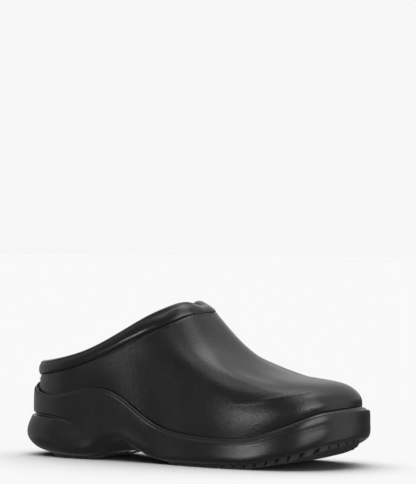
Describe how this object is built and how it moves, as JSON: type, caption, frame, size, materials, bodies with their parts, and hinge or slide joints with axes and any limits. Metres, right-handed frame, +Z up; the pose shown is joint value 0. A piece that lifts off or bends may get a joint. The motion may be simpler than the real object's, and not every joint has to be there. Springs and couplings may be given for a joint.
{
  "type": "chef clog",
  "caption": "Slip-on moulded work clog with closed toe, low padded heel collar, cup sole with toe spring and arch, treaded outsole pads and a removable insole.",
  "frame": {"origin": "on the floor, under the middle of the shoe's bounding box", "axes": "+X from the heel to the toe, -Y to the outer (lateral) side of the right shoe, +Z up"},
  "size_m": [0.2722, 0.1006, 0.1123],
  "materials": {
    "moulded_upper": "satin black moulded foam with a fine grain",
    "moulded_sole": "satin black moulded foam",
    "insole_cloth": "matt black cloth over foam",
    "tread_rubber": "matt black rubber"
  },
  "bodies": {
    "root": {"upper": "moulded_upper", "sole": "moulded_sole", "insole": "insole_cloth", "outsole_heel": "tread_rubber", "outsole_forefoot": "tread_rubber"}
  },
  "joints": []
}
